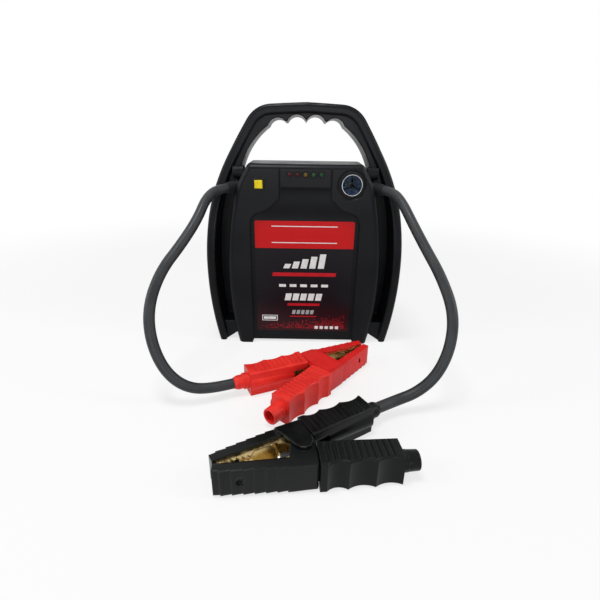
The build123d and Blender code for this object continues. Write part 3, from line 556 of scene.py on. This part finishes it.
printed(
    "printed_band_rules",
    [(-0.046, band_foot + rise, 0.092, 0.0012, 0) for rise in (0.0075, 0.0305)],
    white_ink,
)


def label_squares():
    """Geometry Nodes: small squares scattered ever thinner from the foot of the label up."""
    tree = bpy.data.node_groups.new("label_squares", "GeometryNodeTree")
    sockets = (
        ("Width", "NodeSocketFloat"), ("Height", "NodeSocketFloat"),
        ("Square", "NodeSocketFloat"), ("Ink", "NodeSocketMaterial"),
    )
    for title, kind in sockets:
        tree.interface.new_socket(title, in_out="INPUT", socket_type=kind)
    tree.interface.new_socket("Geometry", in_out="OUTPUT", socket_type="NodeSocketGeometry")
    kit, wire = tree.nodes, tree.links
    start, end = kit.new("NodeGroupInput"), kit.new("NodeGroupOutput")
    grid = kit.new("GeometryNodeMeshGrid")
    grid.inputs["Vertices X"].default_value = 92
    grid.inputs["Vertices Y"].default_value = 16
    wire.new(start.outputs["Width"], grid.inputs["Size X"])
    wire.new(start.outputs["Height"], grid.inputs["Size Y"])
    spot = kit.new("GeometryNodeInputPosition")
    split = kit.new("ShaderNodeSeparateXYZ")
    wire.new(spot.outputs[0], split.inputs[0])
    rise = kit.new("ShaderNodeMapRange")
    rise.inputs["From Min"].default_value = -0.06
    rise.inputs["From Max"].default_value = 0.06
    rise.inputs["To Min"].default_value = -0.012
    rise.inputs["To Max"].default_value = 0.006
    wire.new(split.outputs["X"], rise.inputs["Value"])
    below = kit.new("ShaderNodeMath")
    below.operation = "SUBTRACT"
    wire.new(rise.outputs["Result"], below.inputs[0])
    wire.new(split.outputs["Y"], below.inputs[1])
    chance = kit.new("ShaderNodeMapRange")
    chance.inputs["From Min"].default_value = -0.006
    chance.inputs["From Max"].default_value = 0.012
    chance.inputs["To Min"].default_value = 0
    chance.inputs["To Max"].default_value = 0.85
    wire.new(below.outputs[0], chance.inputs["Value"])
    dice = kit.new("FunctionNodeRandomValue")
    dice.data_type = "FLOAT"
    dice.inputs["Seed"].default_value = 7
    keep = kit.new("FunctionNodeCompare")
    keep.data_type = "FLOAT"
    keep.operation = "LESS_THAN"
    wire.new(dice.outputs[1], keep.inputs["A"])
    wire.new(chance.outputs["Result"], keep.inputs["B"])
    square = kit.new("GeometryNodeMeshGrid")
    square.inputs["Vertices X"].default_value = 2
    square.inputs["Vertices Y"].default_value = 2
    wire.new(start.outputs["Square"], square.inputs["Size X"])
    wire.new(start.outputs["Square"], square.inputs["Size Y"])
    scatter = kit.new("GeometryNodeInstanceOnPoints")
    wire.new(grid.outputs["Mesh"], scatter.inputs["Points"])
    wire.new(keep.outputs["Result"], scatter.inputs["Selection"])
    wire.new(square.outputs["Mesh"], scatter.inputs["Instance"])
    real = kit.new("GeometryNodeRealizeInstances")
    wire.new(scatter.outputs["Instances"], real.inputs["Geometry"])
    coat = kit.new("GeometryNodeSetMaterial")
    wire.new(real.outputs["Geometry"], coat.inputs["Geometry"])
    wire.new(start.outputs["Ink"], coat.inputs["Material"])
    wire.new(coat.outputs["Geometry"], end.inputs["Geometry"])
    return tree


def grown(name, tree, values):
    """Plain mesh from a Geometry Nodes tree, with its inputs set by name."""
    seed = bpy.data.objects.new(name + "_seed", bpy.data.meshes.new(name + "_seed"))
    bpy.context.scene.collection.objects.link(seed)
    maker = seed.modifiers.new("maker", "NODES")
    maker.node_group = tree
    for item in tree.interface.items_tree:
        if item.in_out == "INPUT" and item.name in values:
            maker[item.identifier] = values[item.name]
    view = bpy.context.evaluated_depsgraph_get()
    mesh = bpy.data.meshes.new_from_object(seed.evaluated_get(view))
    mesh.name = name
    bpy.data.objects.remove(seed)
    piece = bpy.data.objects.new(name, mesh)
    bpy.context.scene.collection.objects.link(piece)
    return piece


squares = grown(
    "label_squares", label_squares(),
    {"Width": 0.124, "Height": 0.0235, "Square": 0.00095, "Ink": red_ink},
)
squares_front = label_front - 0.00006
squares_middle = label_low[2] + 0.0165
squares.data.transform(
    Matrix.Translation((0, squares_front, squares_middle)) @ Matrix.Rotation(pi / 2, 4, "X")
)
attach(squares, pack_body)

# ---------------------------------------------------------------- indicator lights
# Five domed light-emitting diodes in black snap-in rings, dark while the pack is off.
dress(gloss_black, "led_bezels")


def tinted_material(name, colour, deep):
    """Tinted plastic over a dark cup: a deep colour in small patches, under a smooth face."""
    material, kit, wire, shader = blank_material(name)
    shader.inputs["Roughness"].default_value = 0.14
    shader.inputs["Specular IOR Level"].default_value = 0.15
    patchy_colour(kit, wire, shader, deep, colour, 0.001, 0.002)
    return material


dress(tinted_material("red_dome", (0.11, 0.006, 0.010), (0.04, 0.003, 0.005)), "leds_red")
dress(tinted_material("amber_dome", (0.20, 0.13, 0.010), (0.08, 0.05, 0.004)), "leds_amber")
dress(tinted_material("green_dome", (0.014, 0.10, 0.026), (0.005, 0.04, 0.01)), "leds_green")

# ---------------------------------------------------------------- push button
# Square black bezel with a yellow cap that springs back, over a small switch.
dress(gloss_black, "button_bezel")
button_yellow = moulded_material(
    "button_yellow", (0.84, 0.66, 0.012), (0.74, 0.57, 0.01), (0.25, 0.35), 0.0012, 0.01, 0.00003
)
dress(button_yellow, "button_cap")

# ---------------------------------------------------------------- work lamp
# Black cup in the cheek of the case with a polished rim, a pale blue lens, and behind it a
# shaded reflector with the three-armed holder of the light source.
dress(gloss_black, "lamp_housing", "lamp_bezel")
lamp_low, lamp_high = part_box("lamp_bezel")
lamp_face = Vector(
    ((lamp_low[0] + lamp_high[0]) / 2, lamp_low[1], (lamp_low[2] + lamp_high[2]) / 2)
)
lamp_chrome = metal_material(
    "lamp_chrome", (0.62, 0.67, 0.74), (0.48, 0.53, 0.60), (0.1, 0.2), 0.002
)
lathe(
    "lamp_ring", Matrix.Translation(lamp_face) @ Matrix.Rotation(-pi / 2, 4, "Z"),
    [(-0.0002, 0.0128), (0.0003, 0.0129), (0.0005, 0.0133), (0.0003, 0.0137), (-0.0002, 0.0138)],
    lamp_chrome, pack_body, hollow=True,
)
lamp_mirror = moulded_material(
    "lamp_mirror", (0.105, 0.130, 0.165), (0.08, 0.10, 0.128), (0.2, 0.3), 0.003, 0.02, 0.00001,
    shine=0.6,
)
dress(lamp_mirror, "lamp_reflector")
lamp_spokes = moulded_material(
    "lamp_spokes", (0.20, 0.24, 0.30), (0.15, 0.18, 0.23), (0.3, 0.4), 0.0009, 0.01, 0.00003
)
dress(lamp_spokes, "lamp_spider")
lens_glass, _, _, lens_shader = blank_material("lens_glass")
lens_shader.inputs["Base Color"].default_value = (0.55, 0.72, 0.95, 1)
lens_shader.inputs["Specular IOR Level"].default_value = 0.2
lens_shader.inputs["Roughness"].default_value = 0.0
lens_shader.inputs["Transmission Weight"].default_value = 1
lens_shader.inputs["IOR"].default_value = 1.2
dress(lens_glass, "lamp_lens")
dress(tinted_material("phosphor", (0.62, 0.52, 0.12), (0.45, 0.36, 0.08)), "lamp_led")

# ---------------------------------------------------------------- clamps
# Each clamp: two soft grips and two hard jaw covers in one colour, over folded brass-plated
# arms with teeth, on a steel pin with a torsion spring that closes the jaws.
red_plastic = moulded_material(
    "red_plastic", (0.76, 0.024, 0.022), (0.66, 0.017, 0.016), (0.3, 0.42), 0.0009, 0.02, 0.00005,
    soft=0.0012, shine=0.22,
)
red_rubber = moulded_material(
    "red_rubber", (0.84, 0.034, 0.024), (0.72, 0.024, 0.018), (0.36, 0.5), 0.0009, 0.02, 0.00008,
    soft=0.0012, shine=0.25,
)
black_plastic = moulded_material(
    "black_plastic", (0.0055, 0.0061, 0.0064), (0.0038, 0.0043, 0.0046), (0.16, 0.26),
    0.0009, 0.02, 0.00004, soft=0.0024, shine=0.18,
)
black_rubber = moulded_material(
    "black_rubber", (0.0042, 0.0048, 0.0052), (0.0030, 0.0034, 0.0037), (0.24, 0.34),
    0.0009, 0.02, 0.00006, soft=0.0016, shine=0.14,
)
plated_brass = metal_material(
    "plated_brass", (0.74, 0.57, 0.27), (0.56, 0.41, 0.18), (0.22, 0.36), 0.0012
)
clamp_looks = (("red", red_plastic, red_rubber), ("black", black_plastic, black_rubber))
for colour, plastic, rubber in clamp_looks:
    dress(plastic, f"{colour}_cable_cover", f"{colour}_free_cover")
    dress(rubber, f"{colour}_cable_grip", f"{colour}_free_grip")
    dress(plated_brass, f"{colour}_cable_arm", f"{colour}_free_arm")
    dress(zinc_steel, f"{colour}_pivot_pin", f"{colour}_spring")
    dress(gloss_black, f"{colour}_cable_screw", f"{colour}_free_screw")
# where the pivot of each clamp stands, which way its jaw points in degrees, and which side is up
clamp_frames = {
    "red": ((0.0183, -0.1643), 38.2, 1),
    "black": ((0.0003, -0.3056), 198.5, -1),
}
clamp_height = 0.016  # middle of the clamps above the floor
grip_splay = radians(12.3)
collar_end, collar_out = 0.0999, 0.0167  # along and out from the pivot, in a grip's frame


def half_frame(colour, half, along_grip):
    """Frame of a clamp half in its pivot: x to the jaw tip, or back along the grip, y outwards."""
    pivot, heading, up = clamp_frames[colour]
    x = Vector((cos(radians(heading)), sin(radians(heading)), 0))
    z = Vector((0, 0, up if half == "cable" else -up))
    y = z.cross(x)
    if along_grip:
        x = y * sin(grip_splay) - x * cos(grip_splay)
        z = -z
        y = z.cross(x)
    stand = Matrix((x, y, z)).transposed().to_4x4()
    stand.translation = (*pivot, clamp_height)
    return stand


def blocks(name, stand, boxes, material, body):
    """Plain rectangular walls in a frame, as one piece, from (low corner, high corner) pairs."""
    form = bmesh.new()
    for low, high in boxes:
        made = bmesh.ops.create_cube(form, size=1)
        for vert in made["verts"]:
            spot = [low[i] + (high[i] - low[i]) * (vert.co[i] + 0.5) for i in range(3)]
            vert.co = stand @ Vector(spot)
    finished(form, name, material, body)


for colour, plastic, rubber in clamp_looks:
    free_body = f"{colour}_clamp_half"
    for half, body, flange in (("cable", pack_body, 0.0106), ("free", free_body, 0.0086)):
        jaw = half_frame(colour, half, False)
        hold = half_frame(colour, half, True)
        # threaded boss of the cover screw, inside the jaw
        inward = jaw @ Matrix.Translation((0.061, 0.0091, 0)) @ Matrix.Rotation(-pi / 2, 4, "Z")
        lathe(
            f"{colour}_{half}_screw_boss", inward,
            [
                (-0.0003, 0.0031), (0.0036, 0.0031), (0.0040, 0.0027),
                (0.0040, 0.0015), (0.0022, 0.0015),
            ],
            plastic, body,
        )
        # rubber lip of the grip round the arm, in the gap between grip and jaw cover
        blocks(
            f"{colour}_{half}_grip_lip", hold,
            [
                ((0.0075, 0.02375, -flange - 0.0004), (0.0121, 0.0247, flange + 0.0004)),
                ((0.0085, 0.0100, flange + 0.0001), (0.0121, 0.0238, flange + 0.00035)),
                ((0.0085, 0.0100, -flange - 0.00035), (0.0121, 0.0238, -flange - 0.0001)),
            ],
            rubber, body,
        )
    # tapered end of the collar, where the cable goes into the grip
    hold = half_frame(colour, "cable", True)
    lathe(
        f"{colour}_collar_taper", hold @ Matrix.Translation((collar_end, collar_out, 0)),
        [(0, 0.0062), (0, 0.0084), (0.0012, 0.0082), (0.0045, 0.0068), (0.0047, 0.0062)],
        rubber, pack_body,
    )
    # open end of the spare collar, slipped over the free grip's spigot
    spare = half_frame(colour, "free", True)
    lathe(
        f"{colour}_collar_end", spare @ Matrix.Translation((collar_end - 0.0121, collar_out, 0)),
        [
            (0, 0.0094), (0.0010, 0.0099), (0.0100, 0.0095), (0.0157, 0.0093), (0.0162, 0.0089),
            (0.0162, 0.0073), (0.0152, 0.0070), (0.0124, 0.0070), (0.0124, 0.0086), (0, 0.0086),
        ],
        rubber, free_body, hollow=True,
    )
    # end of the cable: sleeve and bolt, held by a tongue of the cable-side arm
    jaw = half_frame(colour, "cable", False)
    lathe(
        f"{colour}_lug_sleeve", jaw @ Matrix.Translation((0.0085, 0, 0)),
        [(0, 0.0042), (0.0004, 0.0046), (0.0126, 0.0046), (0.0130, 0.0042)],
        cable_jacket, pack_body,
    )
    blocks(
        f"{colour}_lug_tongue", jaw,
        [((0.0214, -0.0050, -0.0035), (0.0226, 0.0181, 0.0035))],
        plated_brass, pack_body,
    )
    lathe(
        f"{colour}_lug_bolt", jaw @ Matrix.Translation((0.0225, 0, 0)),
        [(0, 0.0036), (0.0010, 0.0036), (0.0018, 0.0032), (0.0024, 0.0022), (0.0026, 0.0008)],
        zinc_steel, pack_body,
    )
